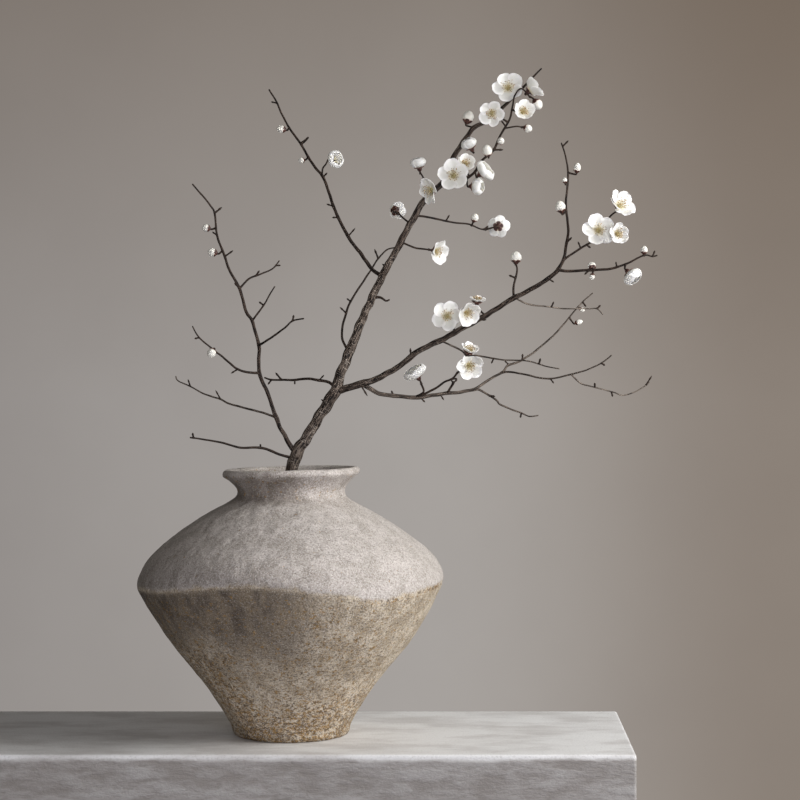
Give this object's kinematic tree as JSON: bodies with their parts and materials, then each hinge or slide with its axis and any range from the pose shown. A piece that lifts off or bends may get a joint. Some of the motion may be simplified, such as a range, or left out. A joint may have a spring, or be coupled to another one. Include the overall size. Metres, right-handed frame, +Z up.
{
  "type": "vase of branches",
  "caption": "Rough stoneware vase with a wide low belly, a short neck and a flared lip, holding one flowering plum branch with white blooms and buds.",
  "frame": {"origin": "centre of the vase's foot, on the surface that it stands on", "axes": "+Z up along the vase's axis; +X towards the branch's long side; the front looks along +Y"},
  "size_m": [0.4658, 0.274, 0.5967],
  "materials": {
    "stoneware": "rough unglazed stoneware with ochre and dark iron specks, matte",
    "water": "clear still water",
    "brass": "tarnished brass pins in a cast base",
    "bark": "thin dark plum bark, dull, with paler grey-brown patches on the thick stem",
    "petal": "thin white petal, soft and slightly translucent",
    "pollen": "ivory filaments with ochre anthers"
  },
  "bodies": {
    "root": {"vase": "stoneware", "water": "water", "pin_holder": "brass", "branch": "bark", "bloom_01": "petal", "bloom_02": "petal", "bloom_03": "petal", "bloom_04": "petal", "bloom_05": "petal", "bloom_06": "petal", "bloom_07": "petal", "bloom_08": "petal", "bloom_09": "petal", "bloom_10": "petal", "bloom_11": "petal", "bloom_12": "petal", "bloom_13": "petal", "bloom_14": "petal", "bloom_15": "petal", "bloom_16": "petal", "bloom_17": "petal", "bloom_18": "petal", "bloom_19": "petal", "bloom_20": "petal", "bloom_21": "petal", "bloom_22": "petal", "bloom_23": "petal", "bloom_24": "petal", "bloom_25": "petal", "stamens_01": "pollen", "stamens_03": "pollen", "stamens_04": "pollen", "stamens_05": "pollen", "stamens_08": "pollen", "stamens_10": "pollen", "stamens_11": "pollen", "stamens_13": "pollen", "stamens_14": "pollen", "stamens_16": "pollen", "stamens_25": "pollen", "bud_01": "petal", "bud_02": "petal", "bud_03": "petal", "bud_04": "petal", "bud_05": "petal", "bud_06": "petal", "bud_07": "petal", "bud_08": "petal", "bud_09": "petal", "bud_10": "petal", "bud_11": "petal", "bud_12": "petal", "bud_13": "petal", "bud_14": "petal", "bud_15": "petal", "bud_16": "petal", "bud_17": "petal", "bud_18": "petal", "bud_19": "petal", "bud_20": "petal"}
  },
  "joints": []
}
